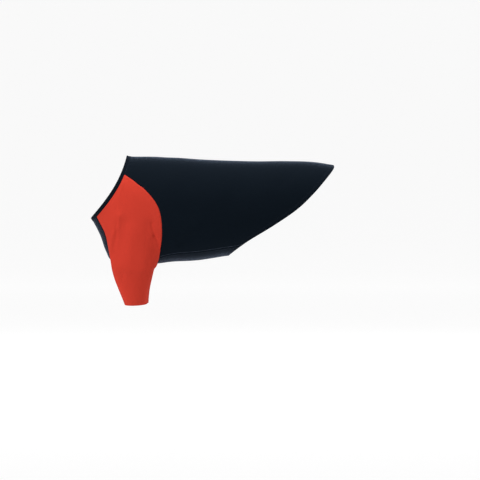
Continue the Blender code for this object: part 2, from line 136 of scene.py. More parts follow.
def smooth_through(rows, places):
    """Catmull-Rom curve: a cubic between each two rows, its slope at a row half its neighbours' chord."""
    rows = np.asarray(rows, float)
    places = np.asarray(places, float)
    first = np.clip(np.floor(places).astype(int), 0, len(rows) - 2)
    t = (places - first)[..., None]
    before, start = rows[np.maximum(first - 1, 0)], rows[first]
    end, after = rows[first + 1], rows[np.minimum(first + 2, len(rows) - 1)]
    bend = 2 * before - 5 * start + 4 * end - after
    twist = 3 * (start - end) + after - before
    return start + 0.5 * t * ((end - before) + t * (bend + t * twist))


def figure(ring, angle, side=1):
    """Point of a ring at an angle from its top: |y|^p + |z|^p = 1, a superellipse, in its slanting plane."""
    top_x, top_z, low_x, low_z, half_width, low_square = np.moveaxis(smooth_through(RINGS, ring), -1, 0)
    across, along = np.sin(angle), np.cos(angle)
    power = np.where(along >= 0, UPPER_ROUNDNESS, low_square)
    reach = (np.abs(across) ** power + np.abs(along) ** power) ** (-1 / power)
    x = (top_x + low_x) / 2 + reach * along * (top_x - low_x) / 2
    z = (top_z + low_z) / 2 + reach * along * (top_z - low_z) / 2
    return np.stack([x, side * half_width * reach * across, z], -1)


def unit(vectors):
    """Each vector over its own length."""
    return vectors / np.linalg.norm(vectors, axis=-1, keepdims=True)


def figure_normal(ring, angle, side=1):
    """Outward normal: the cross product of the slopes along the rings and round them."""
    lengthwise = figure(ring + SMALL, angle, side) - figure(ring - SMALL, angle, side)
    around = figure(ring, angle + SMALL, side) - figure(ring, angle - SMALL, side)
    return unit(np.cross(lengthwise, around) * side)


def where_on_rings(points):
    """Ring and angle of side-view points: the ring by halving, then the angle whose height on it fits."""
    x, z = np.asarray(points, float).T
    low, high = np.zeros(len(x)), np.full(len(x), len(RINGS) - 1.0)
    for _ in range(HALVINGS):
        ring = (low + high) / 2
        top_x, top_z, low_x, low_z, _, low_square = np.moveaxis(smooth_through(RINGS, ring), -1, 0)
        behind = (x - low_x) * (top_z - low_z) > (z - low_z) * (top_x - low_x)
        low, high = np.where(behind, ring, low), np.where(behind, high, ring)
    half_x, half_z = (top_x - low_x) / 2, (top_z - low_z) / 2
    along = (x - low_x - half_x) * half_x + (z - low_z - half_z) * half_z
    along = np.clip(along / (half_x**2 + half_z**2), -1, 1)
    power = np.where(along >= 0, UPPER_ROUNDNESS, low_square)
    return np.stack([ring, np.arctan2((1 - np.abs(along) ** power) ** (1 / power), along)], -1)


def ring_where(angle, signed_distance):
    """For each angle the ring at which the distance changes sign, by halving."""
    low, high = np.zeros(len(angle)), np.full(len(angle), len(RINGS) - 1.0)
    for _ in range(HALVINGS):
        ring = (low + high) / 2
        short = signed_distance(figure(ring, angle)) < 0
        low, high = np.where(short, ring, low), np.where(short, high, ring)
    return ring


def neck_rings(angle, back):
    """Rings of the line this far behind the neck edge, whose sides bow back as a cubic, most near the top."""
    neck = RINGS[NECK_RING]
    chord = np.array([neck.top_x - neck.low_x, neck.top_z - neck.low_z])
    half = np.linalg.norm(chord) / 2
    rearward = np.array([chord[1], -chord[0]]) / (2 * half)
    middle = np.array([neck.top_x + neck.low_x, neck.top_z + neck.low_z]) / 2

    def behind_edge(points):
        offset = points[:, [0, 2]] - middle
        along = np.clip(offset @ chord / (2 * half * half), -1, 1)
        return offset @ rearward - NECK_BOW * (1 - along**2) * (1 + NECK_SKEW * along) - back

    return ring_where(angle, behind_edge)


def hem_rings(angle):
    """Rings of the hem, whose side view is the smooth curve through its points."""
    line = smooth_through(HEM, np.linspace(0, len(HEM) - 1, FINE))[::-1]

    def past_hem(points):
        return points[:, 0] - np.interp(points[:, 2], line[:, 1], line[:, 0])

    return ring_where(angle, past_hem)


Line = namedtuple("Line", "at length")  # a line on the figure as a function of the share of its length


def line_on_figure(rows):
    """The smooth line through (ring, angle) rows, with lengths measured on the figure."""
    fine = smooth_through(rows, np.linspace(0, len(rows) - 1, FINE))
    steps = np.linalg.norm(np.diff(figure(*fine.T), axis=0), axis=1)
    length = np.append(0, np.cumsum(steps))

    def at(share):
        wanted = np.asarray(share) * length[-1]
        return np.stack([np.interp(wanted, length, fine[:, 0]), np.interp(wanted, length, fine[:, 1])], -1)

    return Line(at, length[-1])


def reverse(line):
    """The same line from its other end."""
    return Line(lambda share: line.at(1 - np.asarray(share)), line.length)


def chain(*parts):
    """Lines end to end, each over its own share of the steps, as a function of the share of all the steps."""
    ends = np.cumsum([0] + [steps for _, steps in parts]) / sum(steps for _, steps in parts)

    def at(share):
        share = np.atleast_1d(share)
        which = np.clip(np.searchsorted(ends, share, side="right") - 1, 0, len(parts) - 1)
        spots = np.empty((len(share), 2))
        for number, (line, _) in enumerate(parts):
            mine = which == number
            local = (share[mine] - ends[number]) / (ends[number + 1] - ends[number])
            spots[mine] = line.at(local)
        return spots

    return Line(at, sum(line.length for line, _ in parts))


def neck_line(first_angle, last_angle, back=BAND_WIDTH):
    """Part of the line this far behind the neck edge."""
    angle = np.linspace(first_angle, last_angle, FINE)
    return line_on_figure(np.stack([neck_rings(angle, back), angle], -1))


def hem_line(first_angle, last_angle):
    """Part of the hem."""
    angle = np.linspace(first_angle, last_angle, FINE)
    return line_on_figure(np.stack([hem_rings(angle), angle], -1))


BACK_CORNER = where_on_rings(REAR_SEAM[:1])[0, 1]
CHEST_CORNER = np.radians(FRONT_SEAM[0].degrees)
neck_back = neck_line(0, BACK_CORNER)
neck_sleeve = neck_line(BACK_CORNER, CHEST_CORNER)
neck_chest = neck_line(CHEST_CORNER, np.pi)
rear_rows = where_on_rings(REAR_SEAM)
rear_rows[0] = neck_back.at(1)
rear_seam = line_on_figure(rear_rows)
front_rows = np.vstack([[(row.ring, np.radians(row.degrees)) for row in FRONT_SEAM], rear_rows[-1:]])
front_rows[0] = neck_sleeve.at(1)
front_seam = line_on_figure(front_rows)
side_rows = where_on_rings(SIDE_SEAM)
side_rows[-1, 0] = hem_rings(side_rows[-1:, 1])[0]
side_seam = line_on_figure(side_rows)
HEM_CORNER = side_rows[-1, 1]
hem_back = hem_line(0, HEM_CORNER)
hem_belly = hem_line(HEM_CORNER, np.pi)


CROWD_POWER = 6
AT_SEAM, AT_HEM, AT_CUFF = 0.75, 0.7, 0.5  # steps are this share shorter there, at the neck as at the hem


def crowded(count, start=0.0, end=0.0):
    """Shares from 0 to 1 in steps 1 - a (1 - t)^6 - b t^6, which shrink towards the start and the end."""
    t = np.linspace(0, 1, count + 1)
    step = 1 - start * (1 - t) ** CROWD_POWER - end * t**CROWD_POWER
    run = np.append(0, np.cumsum((step[1:] + step[:-1]) / 2))
    return run / run[-1]


def patch(u, v, start, end, left, right):
    """Coons patch: the blend of both pairs of edges less the blend of the corners, in ring and angle."""
    first, last, near, far = start.at(v), end.at(v), left.at(u), right.at(u)
    u, v = u[:, None, None], v[None, :, None]
    corners = (1 - u) * ((1 - v) * first[0] + v * first[-1]) + u * ((1 - v) * last[0] + v * last[-1])
    return (1 - v) * near[:, None] + v * far[:, None] + (1 - u) * first + u * last - corners


BLOCKS = 60  # points are compared with a line in this many blocks, to spare memory


def distance_to(points, line, side=1):
    """Distance from each point to the nearest of many points along a line, and how far along that one is."""
    spots = figure(*line.at(np.linspace(0, 1, FINE)).T, side)
    blocks = np.array_split(points.reshape(-1, 3), BLOCKS)
    away = [np.linalg.norm(block[:, None] - spots, axis=-1) for block in blocks]
    nearest = np.concatenate([block.min(1) for block in away]).reshape(points.shape[:-1])
    place = np.concatenate([block.argmin(1) for block in away]).reshape(points.shape[:-1])
    return nearest, place * line.length / (FINE - 1)


def seam_relief(distance):
    """Height of cloth beside a seam: a Gaussian dip on the seam and a lower Gaussian ridge beside it."""
    dip = SEAM_DIP * np.exp(-((distance / SEAM_DIP_WIDTH) ** 2))
    return SEAM_PUFF * np.exp(-(((distance - SEAM_PUFF_AT) / SEAM_PUFF_WIDTH) ** 2)) - dip


Ripple = namedtuple("Ripple", "share length phase group group_phase")
RIPPLES = (
    Ripple(1.0, 2.3, 0.0, 17.0, 0.7),
    Ripple(0.6, 3.4, 1.3, 11.0, 0.0),
)
PUCKER, NECK_PUCKER, FLANK_PUCKER = 0.4, 0.35, 0.3  # heights at a sleeve seam, the neck and the side seam
PUCKER_REACH, PUCKER_START = 9.0, 2.5  # how far the ripples carry, and how near the seam they rise


def puckers(distance, along, height=PUCKER):
    """Ripples square to a seam: sines along it in uneven groups, fading as exp(-distance / reach)."""
    ripple = 0
    for wave in RIPPLES:
        group = np.sin(along / wave.group + wave.group_phase)
        ripple += wave.share * np.sin(along / wave.length + wave.phase) * group
    rise = 1 - np.exp(-((distance / PUCKER_START) ** 2))
    return height * ripple * np.exp(-distance / PUCKER_REACH) * rise


def hem_relief(distance):
    """Height of a turned edge: a flat band that drops off past the stitches, with a groove under each row."""
    band = HEM_PUFF / (1 + np.exp((distance - HEM_BAND) / HEM_PUFF_EASE))
    grooves = sum(np.exp(-(((distance - row) / NEEDLE_GROOVE) ** 2)) for row in NEEDLES)
    return band - HEM_PUFF * grooves


Fold = namedtuple("Fold", "side x0 z0 x1 z1 width height")
BACK_FOLDS = (
    Fold(-1, 76.0, -238.0, 118.0, -209.0, 5.5, -1.6),
    Fold(-1, 88.0, -228.0, 154.0, -200.0, 17.0, -2.4),
    Fold(-1, 66.0, -222.0, 122.0, -184.0, 14.0, 1.6),
    Fold(-1, 60.0, -70.0, 140.0, -170.0, 34.0, 1.6),
    Fold(-1, 236.0, -92.0, 160.0, -190.0, 30.0, -1.8),
    Fold(-1, 392.0, -36.0, 352.0, -74.0, 16.0, -1.2),
    Fold(1, 76.0, -220.0, 136.0, -202.0, 17.0, -2.4),
    Fold(1, 82.0, -230.0, 112.0, -214.0, 6.0, -1.2),
    Fold(1, 196.0, -200.0, 246.0, -164.0, 20.0, -2.0),
    Fold(1, 52.0, -90.0, 120.0, -176.0, 32.0, 1.6),
    Fold(1, 260.0, -80.0, 210.0, -170.0, 30.0, -1.6),
)


def fold_heights(points, normal, folds, side):
    """Sum of soft creases: each a Gaussian across its line in the side view, lower towards its far end."""
    height = np.zeros(points.shape[:-1])
    facing = np.clip(normal[..., 1] * side, 0, 1)
    for fold in folds:
        if fold.side != side:
            continue
        start = np.array([fold.x0, fold.z0])
        run = np.array([fold.x1, fold.z1]) - start
        offset = points[..., [0, 2]] - start
        share = np.clip(offset @ run / (run @ run), 0, 1)
        away = np.linalg.norm(offset - share[..., None] * run, axis=-1)
        height += fold.height * facing * np.exp(-((away / fold.width) ** 2)) * (1 - FOLD_FADE * share)
    return height


def lengths(points, axis, origin=0):
    """Length along the grid's lines from one of their points, in millimetres."""
    steps = np.linalg.norm(np.diff(points, axis=axis), axis=-1)
    run = np.cumsum(np.insert(steps, 0, 0, axis=axis), axis=axis)
    return run - np.take(run, [origin], axis=axis)


def sewn_in(name, points, faces, surface):
    """A new piece from its points in millimetres and its faces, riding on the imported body."""
    mesh = bpy.data.meshes.new(name)
    mesh.from_pydata((points.reshape(-1, 3) * MM).tolist(), [], faces)
    mesh.shade_smooth()
    mesh.materials.append(surface)
    piece = bpy.data.objects.new(name, mesh)
    bpy.context.scene.collection.objects.link(piece)
    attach(piece, "root")
    return piece


def cloth_piece(name, points, pattern, surface, closed=False, tube=False, thickness=CLOTH):
    """A sheet from a grid of points, with pattern coordinates as UVs and its inner face this far inside."""
    rows, columns = points.shape[:2]
    index = np.arange(rows * columns).reshape(rows, columns)
    if closed:
        index = np.hstack([index, index[:, :1]])
    if tube:
        index = np.vstack([index, index[:1]])
    around = [(slice(None, -1), slice(None, -1)), (slice(1, None), slice(None, -1)),
              (slice(1, None), slice(1, None)), (slice(None, -1), slice(1, None))]
    quads = np.stack([index[corner] for corner in around], -1).reshape(-1, 4)
    piece = sewn_in(name, points, quads.tolist(), surface)
    coordinates = np.stack([pattern[corner] for corner in around], 2).reshape(-1, 2) * MM
    piece.data.uv_layers.new(name="cut").data.foreach_set("uv", coordinates.astype(np.float32).ravel())
    if thickness:
        wall = piece.modifiers.new("layer", "SOLIDIFY")
        wall.thickness = thickness * MM
        wall.offset = -1
        piece.modifiers.new("even_light", "WEIGHTED_NORMAL")
    return piece


STRIDES = 5  # a walk over the figure is made in this many straight steps


def walked(spots, heading, reach):
    """Spots moved over the figure: short straight steps along the heading, solved for ring and angle."""
    spots, heading = spots.copy(), heading.copy()
    for _ in range(STRIDES):
        ring, angle = spots.T
        slope = figure(ring + SMALL, angle) - figure(ring - SMALL, angle)
        turn = figure(ring, angle + SMALL) - figure(ring, angle - SMALL)
        slopes = np.stack([slope, turn], -1) / (2 * SMALL)
        spots += (np.linalg.pinv(slopes) @ (heading * reach / STRIDES)[..., None])[..., 0]
        normal = figure_normal(*spots.T)
        heading = unit(heading - (heading * normal).sum(-1, keepdims=True) * normal)
    return spots


def square_to(line, share):
    """Spots along a line on the figure, with the headings square to it in the surface: normal x direction."""
    spots = line.at(share)
    along = unit(np.gradient(figure(*spots.T), axis=0))
    return spots, np.cross(figure_normal(*spots.T), along)


def strip_beside(line, share, profile):
    """Points of a narrow strip: each (reach, out) of its profile is walked from the line and lifted out."""
    spots, heading = square_to(line, share)
    rows = []
    for reach, out in profile:
        moved = walked(spots, heading, reach)
        rows.append(figure(*moved.T) + out * figure_normal(*moved.T))
    return np.array(rows)


def round_strip(half):
    """The strip at +Y joined to its mirror image at -Y, both ends of the half lying on Y = 0."""
    return np.concatenate([half, half[:, -2:0:-1] * (1, -1, 1)], 1)


def strip_cut(points):
    """Pattern coordinates of a strip closed both ways: along it, and round its profile."""
    looped = np.vstack([points, points[:1]])
    looped = np.hstack([looped, looped[:, :1]])
    return np.stack([lengths(looped, 1), lengths(looped, 0)], -1)


Thread = namedtuple("Thread", "length radius pitch sides")
THREAD = Thread(2.5, 0.26, 3.1, 6)
RodRing = namedtuple("RodRing", "along radius")  # shares of half the stitch's length and of its radius
ROD_RINGS = (RodRing(-1, 0.35), RodRing(-0.82, 1), RodRing(0.82, 1), RodRing(1, 0.35))
GLANCE = 0.5  # the run ahead from which a stitch takes its direction


def stitch_row(points, normal):
    """Rods of thread along a closed line of points: a capsule of four rings at each equal pitch."""
    ahead = np.roll(points, -1, 0) - points
    run = np.append(0, np.cumsum(np.linalg.norm(ahead, axis=1)))
    count = int(run[-1] / THREAD.pitch)
    wanted = (np.arange(count) + 0.5) * run[-1] / count
    looped, turned = np.vstack([points, points[:1]]), np.vstack([normal, normal[:1]])
    centre = np.stack([np.interp(wanted, run, axis) for axis in looped.T], -1)
    ends = np.stack([np.interp(wanted + GLANCE, run, axis) for axis in looped.T], -1)
    up = unit(np.stack([np.interp(wanted, run, axis) for axis in turned.T], -1))
    along = unit(ends - centre)
    beside = unit(np.cross(up, along))
    turn = np.arange(THREAD.sides) * 2 * np.pi / THREAD.sides
    ring_along, ring_radius = np.array(ROD_RINGS).T[..., None, None]
    reach, size = THREAD.length / 2 * ring_along, THREAD.radius * ring_radius
    round_it = np.cos(turn)[:, None] * beside[:, None, None] + np.sin(turn)[:, None] * up[:, None, None]
    return centre[:, None, None] + reach * along[:, None, None] + size * round_it


def thread_piece(name, rows, surface):
    """All the rods of some rows of stitches in one mesh, with their ends closed."""
    rods = np.concatenate(rows)
    index = np.arange(rods[..., 0].size).reshape(rods.shape[:3])
    following = np.roll(index, -1, 2)
    sides = np.stack([index[:, :-1], following[:, :-1], following[:, 1:], index[:, 1:]], -1).reshape(-1, 4)
    caps = np.vstack([index[:, 0, ::-1], index[:, -1]])
    return sewn_in(name, rods, sides.tolist() + caps.tolist(), surface)


class Yarn:
    """A value in a material's nodes. Sums and products of it, in Python's signs, add Math nodes."""

    def __init__(self, tree, socket=None):
        self.tree = tree
        self.socket = socket

    def node(self, kind, settings=None, values=None, output=0):
        """A node of this kind: its settings are set first, then each socket gets its value or link."""
        made = self.tree.nodes.new("ShaderNode" + kind)
        for name, setting in (settings or {}).items():
            setattr(made, name, setting)
        for name, value in (values or {}).items():
            if isinstance(value, Yarn):
                self.tree.links.new(value.socket, made.inputs[name])
            else:
                made.inputs[name].default_value = value
        return Yarn(self.tree, made.outputs[output])

    def maths(self, operation, first, second=0.0):
        return self.node("Math", {"operation": operation}, {0: first, 1: second})

    def __add__(self, other):
        return self.maths("ADD", self, other)

    __radd__ = __add__

    def __sub__(self, other):
        return self.maths("SUBTRACT", self, other)

    def __mul__(self, other):
        return self.maths("MULTIPLY", self, other)

    __rmul__ = __mul__


WALE, COURSE = 1.1, 0.85  # width of a column of stitches and height of a row
STITCH_SLANT = 1.4  # rows that the legs of a stitch rise for a column's width
ROW_DEPTH = 0.35  # share of a leg's height that changes from row to row
DYE_CLOUDS, FIBRES, FIBRE_DEPTH = 9.0, 420.0, 0.35  # noise cells to a metre, and the fibres' relief
RELIEF, RELIEF_STRENGTH = 0.25, 0.5  # height of a stitch in the bump, and the weight of it
NAP_ROUGHNESS = 0.3


def jersey(name, colour, nap, shine, ribs=False):
    """Knit cloth with a nap (red, green, blue, weight): columns of V-shaped stitches, or ribs, unevenly dyed.

    Colour times 0.80 + 0.14 stitch + 0.14 dye + 0.12 fleck, the stitch term painted shade in the knit's
    grooves; roughness 0.72 + 0.16 fleck.
    """
    surface = bpy.data.materials.new(name)
    surface.use_nodes = True
    tree = surface.node_tree
    shader = tree.nodes["Principled BSDF"]
    shader.inputs["Sheen Weight"].default_value = nap[3]
    shader.inputs["Sheen Roughness"].default_value = NAP_ROUGHNESS
    shader.inputs["Sheen Tint"].default_value = (*nap[:3], 1)
    shader.inputs["Specular IOR Level"].default_value = shine
    start = Yarn(tree)
    cut = start.node("UVMap", {"uv_map": "cut"})
    across = start.node("SeparateXYZ", None, {0: cut}) * (1 / (WALE * MM))
    along = start.node("SeparateXYZ", None, {0: cut}, output=1) * (1 / (COURSE * MM))
    beside = start.maths("ABSOLUTE", start.maths("FRACT", across) - 0.5)
    leg = start.maths("SINE", beside * (2 * np.pi))
    loop = start.maths("SINE", (along - beside * STITCH_SLANT) * (2 * np.pi))
    stitch = start.maths("SINE", beside * np.pi) if ribs else leg * (1 - ROW_DEPTH + ROW_DEPTH * loop)
    where = start.node("TexCoord", output=3)  # the Object coordinates
    dye = start.node("TexNoise", None, {"Vector": where, "Scale": DYE_CLOUDS, "Detail": 3.0})
    fleck = start.node("TexNoise", None, {"Vector": where, "Scale": FIBRES, "Detail": 2.0})
    # painted shade: the stitch term darkens the colour in the grooves between stitches or ribs; dye and fleck
    # are the yarn's uneven tone
    knit_shade_and_dye = 0.80 + 0.14 * stitch + 0.14 * dye + 0.12 * fleck
    shade = start.node("CombineColor", None, {0: knit_shade_and_dye, 1: knit_shade_and_dye, 2: knit_shade_and_dye})
    mixing = {"data_type": "RGBA", "blend_type": "MULTIPLY"}
    tone = start.node("Mix", mixing, {0: 1.0, 6: (*colour, 1), 7: shade}, 2)
    tree.links.new(tone.socket, shader.inputs["Base Color"])
    tree.links.new((0.72 + 0.16 * fleck).socket, shader.inputs["Roughness"])
    bump = {"Strength": RELIEF_STRENGTH, "Distance": RELIEF * MM, "Height": stitch + FIBRE_DEPTH * fleck}
    relief = start.node("Bump", None, bump)
    tree.links.new(relief.socket, shader.inputs["Normal"])
    return surface


navy_jersey = jersey("navy_jersey", (0.0030, 0.0056, 0.0092), (0.50, 0.62, 0.86, 0.34), 0.02)

HEM_STEPS, SIDE_STEPS = 14, 9
BACK_ROWS, BACK_COLUMNS = 150, 138
rows_u = crowded(BACK_ROWS, AT_HEM, AT_HEM)
columns_v = crowded(BACK_COLUMNS, end=AT_SEAM)
lower_edge = chain((hem_back, HEM_STEPS), (reverse(side_seam), SIDE_STEPS))
spine = line_on_figure(np.linspace(neck_back.at(0), hem_back.at(0), FINE))
spots = patch(rows_u, columns_v, neck_back, lower_edge, spine, rear_seam)
halves = {}
for side in (1, -1):
    ring, angle = np.moveaxis(spots, -1, 0)
    points, normal = figure(ring, angle, side), figure_normal(ring, angle, side)
    seams = (neck_back, rear_seam, side_seam)
    at_neck, at_sleeve, at_belly = [distance_to(points, seam, side) for seam in seams]
    nearest = np.minimum.reduce([at_neck[0], at_sleeve[0], at_belly[0]])
    height = fold_heights(points, normal, BACK_FOLDS, side) * np.clip(nearest / FOLD_EASE, 0, 1)
    height += seam_relief(np.minimum(at_sleeve[0], at_belly[0]))
    height += hem_relief(distance_to(points, hem_back, side)[0])
    height += puckers(*at_sleeve) + puckers(*at_neck, NECK_PUCKER) + puckers(*at_belly, FLANK_PUCKER)
    halves[side] = points + height[..., None] * normal
back_points = np.hstack([halves[-1][:, :0:-1], halves[1]])
back_cut = np.stack([lengths(back_points, 1, BACK_COLUMNS), lengths(back_points, 0)], -1)
back_cloth = cloth_piece("back_cloth", back_points, back_cut, navy_jersey)
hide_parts("back_panel")


# ---------------------------------------------------------------- belly panel
# A narrower piece of the same navy jersey, from the neck down the chest, between the front legs and along the
# belly. It is overlocked to both sleeves and along the lower flanks to the back panel, and hemmed with it.
FRONT_STEPS = 18
BELLY_ROWS, BELLY_COLUMNS = 200, 48
CHEST_PUCKER = 0.3  # at the neck
rows_u = crowded(BELLY_ROWS, AT_HEM, AT_HEM)
columns_v = crowded(BELLY_COLUMNS, end=AT_SEAM)
long_edge = chain((front_seam, FRONT_STEPS), (side_seam, SIDE_STEPS))
keel_line = line_on_figure(np.linspace(neck_chest.at(1), hem_belly.at(1), FINE))
step_ends = (0, FRONT_STEPS / (FRONT_STEPS + SIDE_STEPS), 1)
length_ends = (0, front_seam.length / long_edge.length, 1)
keel = Line(lambda share: keel_line.at(np.interp(share, step_ends, length_ends)), keel_line.length)
spots = patch(rows_u, columns_v, reverse(neck_chest), reverse(hem_belly), keel, long_edge)
ring, angle = np.moveaxis(spots, -1, 0)
points, normal = figure(ring, angle), figure_normal(ring, angle)
at_sleeve, at_back, at_neck = [distance_to(points, seam) for seam in (front_seam, side_seam, neck_chest)]
height = seam_relief(np.minimum(at_sleeve[0], at_back[0])) + hem_relief(distance_to(points, hem_belly)[0])
height += puckers(*at_sleeve) + puckers(*at_back, FLANK_PUCKER) + puckers(*at_neck, CHEST_PUCKER)
points = points + height[..., None] * normal
belly_points = np.hstack([points[:, :0:-1] * (1, -1, 1), points])[:, ::-1]
belly_cut = np.stack([lengths(belly_points, 1, BELLY_COLUMNS), lengths(belly_points, 0)], -1)
belly_cloth = cloth_piece("belly_cloth", belly_points, belly_cut, navy_jersey)
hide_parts("belly_panel")


# ---------------------------------------------------------------- turned hem
# The lower edge of the back and belly panels is folded in once all the way round and held by two rows of
# straight stitches outside, so that its edge is a soft double fold and its raw edge lies 12 mm up inside.
TURNED = 12.0  # how far in the raw edge lies
UNDER, UNDERMOST = -0.84, -1.64  # the turned layer's two faces, below the outer face of the panel
NOSE_STEPS, NOSE_REACH, NOSE_HEIGHT, NOSE_DEPTH = 9, 0.75, 1.02, 0.62  # the half oval of the fold
LAP = ((0.6, 0.34), (0.6, -0.3))  # (reach, out) of the fold's outer end, just over the panel's edge


def turned_profile(inward, raw_edge):
    """(reach, out) round a turned edge: in along its inner face, round the fold and back, to its raw edge."""
    turns = np.linspace(-0.5 * np.pi, 0.5 * np.pi, NOSE_STEPS)
    nose = [(-NOSE_REACH * np.cos(turn), NOSE_HEIGHT * np.sin(turn) - NOSE_DEPTH) for turn in turns]
    inner = [(reach, UNDERMOST) for reach in inward[::-1]]
    outer = [(reach, UNDER) for reach in inward]
    return [*inner, *nose, *LAP, *outer, (raw_edge, (UNDER + UNDERMOST) / 2)]


HEM_PROFILE = turned_profile((4.0, 8.0, 11.2), TURNED)
HEM_PLACES = 330
hem_whole = hem_line(0, np.pi)
share = np.linspace(0, 1, HEM_PLACES)
hem_points = round_strip(strip_beside(hem_whole, share, HEM_PROFILE))[::-1]
hem_turn = cloth_piece("hem_turn", hem_points, strip_cut(hem_points), navy_jersey, True, True, 0)

THREAD_LIFT = 0.02  # the middle of a stitch lies this far out of the cloth
navy_thread = jersey("navy_thread", (0.006, 0.010, 0.018), (0.5, 0.6, 0.8, 0.15), 0.1)
rows = []
for needle in NEEDLES:
    lifted = round_strip(strip_beside(hem_whole, share, [(needle, THREAD_LIFT), (needle, 1 + THREAD_LIFT)]))
    rows.append(stitch_row(lifted[0], lifted[1] - lifted[0]))
hem_stitches = thread_piece("hem_stitches", rows, navy_thread)


# ---------------------------------------------------------------- sleeves
# Two red jersey sleeves, set in from the neck to the armpit in the raglan way. Above the armpit each is a
# wide panel over the shoulder, below it a tube that tapers down the front leg, creased where that bends.
LegRing = namedtuple("LegRing", "z front rear inner outer")
LEG_RINGS = (
    LegRing(-306.0, -101.0, 7.5, 49.0, 112.0),
    LegRing(-330.0, -94.0, 2.0, 49.0, 110.0),
    LegRing(-360.0, -82.0, -4.0, 49.5, 107.0),
    LegRing(-395.5, -67.0, -7.5, 50.0, 103.5),
)
LEG_ANGLES = (-160.0, -35.0, 45.0, 112.0, 200.0)  # round the leg from its front, at the armhole's corners
WEB = (  # the sleeve's edge from the armpit to the back of the leg
    SidePoint(19.5, -271.0),
    SidePoint(20.3, -279.0),
    SidePoint(19.0, -286.0),
    SidePoint(14.5, -292.5),
    SidePoint(10.8, -299.0),
)
CUFF_RISE, CUFF_DROP = 0.05, 4.0  # rise for a millimetre rearward, and drop of the outer side
LEG_LEAN = 0.07  # rearward lean of the cloth that hangs from the armhole under the chest
INSET, DROP = 0.1, 3.5  # each of the first two rows lies this share into the armhole, or this much lower
STILL_ON_FIGURE = 0.1  # the second row is held where it has turned down by less than this share
DOWN_FROM_Z, DOWN_BELOW_Z = -165.0, -262.0  # these rows turn to straight down between these heights
REAR_STEPS, NECK_SLEEVE_STEPS, SHOULDER_ROWS, LEG_ROWS = 16, 9, 11, 9
SLEEVE_FOLDS = (
    Fold(-1, -81.0, -156.0, -85.0, -206.0, 4.0, 1.6),
    Fold(-1, -97.0, -206.0, -106.0, -252.0, 5.0, 2.4),
    Fold(-1, -86.5, -172.0, -88.5, -202.0, 4.0, -1.8),
    Fold(-1, -89.0, -204.0, -98.0, -262.0, 5.0, -2.6),
    Fold(-1, -84.0, -162.0, -101.0, -244.0, 15.0, 2.2),
    Fold(-1, -66.0, -176.0, -84.0, -268.0, 15.0, -1.6),
    Fold(-1, -42.0, -196.0, -58.0, -290.0, 17.0, 1.4),
    Fold(-1, 5.5, -180.0, 13.0, -214.0, 4.0, -2.2),
    Fold(-1, 12.5, -212.0, 25.0, -236.0, 4.5, -2.8),
    Fold(-1, -2.0, -186.0, 8.0, -250.0, 14.0, -2.2),
    Fold(-1, -3.0, -212.0, 10.0, -252.0, 5.0, 0.9),
    Fold(-1, 12.0, -250.0, 2.0, -276.0, 4.5, -1.3),
    Fold(-1, -3.0, -284.0, -11.0, -318.0, 5.0, -1.2),
    Fold(-1, 2.0, -296.0, -3.0, -322.0, 4.5, 0.8),
    Fold(-1, -72.0, -316.0, -77.0, -342.0, 5.0, -1.3),
    Fold(-1, -92.0, -322.0, -78.0, -362.0, 14.0, -1.0),
    Fold(1, -88.0, -170.0, -98.0, -236.0, 14.0, 3.0),
    Fold(1, -66.0, -190.0, -74.0, -250.0, 13.0, -2.4),
    Fold(1, -6.0, -172.0, 6.0, -240.0, 15.0, -3.0),
    Fold(1, -40.0, -214.0, -52.0, -276.0, 16.0, 1.8),
    Fold(1, -84.0, -334.0, -72.0, -372.0, 14.0, -1.6),
)
along_front, along_neck = (reverse(front_seam), FRONT_STEPS), (reverse(neck_sleeve), NECK_SLEEVE_STEPS)
armhole = chain(along_front, along_neck, (rear_seam, REAR_STEPS))


def leg_points(angle, rows):
    """Ellipses down the leg, sheared at the cuff, by height and angle from the front."""
    down = np.linspace(0, len(LEG_RINGS) - 1, rows + 1)
    z, front, rear, inner, outer = np.moveaxis(smooth_through(LEG_RINGS, down)[:, None], -1, 0)
    level = np.linspace(0, 1, rows + 1)[:, None] ** 2
    x = -(rear - front) / 2 * np.cos(angle)
    y = (outer - inner) / 2 * np.sin(angle)
    z = z + level * (CUFF_RISE * x - CUFF_DROP * np.sin(angle))
    return np.stack([(front + rear) / 2 + x, (inner + outer) / 2 + y, z], -1)


def inside_armhole(spots, share, drop):
    """The armhole's loop moved in over the figure, turning to straight down under the chest."""
    edge = figure(*spots.T)
    on_figure = figure(*(spots + share * (spots.mean(0) - spots)).T)
    under = edge + drop * np.array([LEG_LEAN, 0, -1])
    low = np.clip((DOWN_FROM_Z - edge[:, 2:]) / (DOWN_FROM_Z - DOWN_BELOW_Z), 0, 1)
    low = low * low * (3 - 2 * low)
    return (1 - low) * on_figure + low * under, low[:, 0]


def least_bent(grid, held):
    """The free points of a closed grid set where the squared second differences sum to the least."""
    rows, columns = grid.shape[:2]
    lengthwise = np.kron(np.diff(np.eye(rows), 2, axis=0), np.eye(columns))
    turn = np.roll(np.eye(columns), 1, 0) + np.roll(np.eye(columns), -1, 0) - 2 * np.eye(columns)
    bend = lengthwise + np.kron(np.eye(rows)[1:-1], turn)
    points, free = grid.reshape(-1, 3).copy(), ~held.reshape(-1)
    points[free] = np.linalg.lstsq(bend[:, free], -bend[:, ~free] @ points[~free], rcond=None)[0]
    return points.reshape(grid.shape)


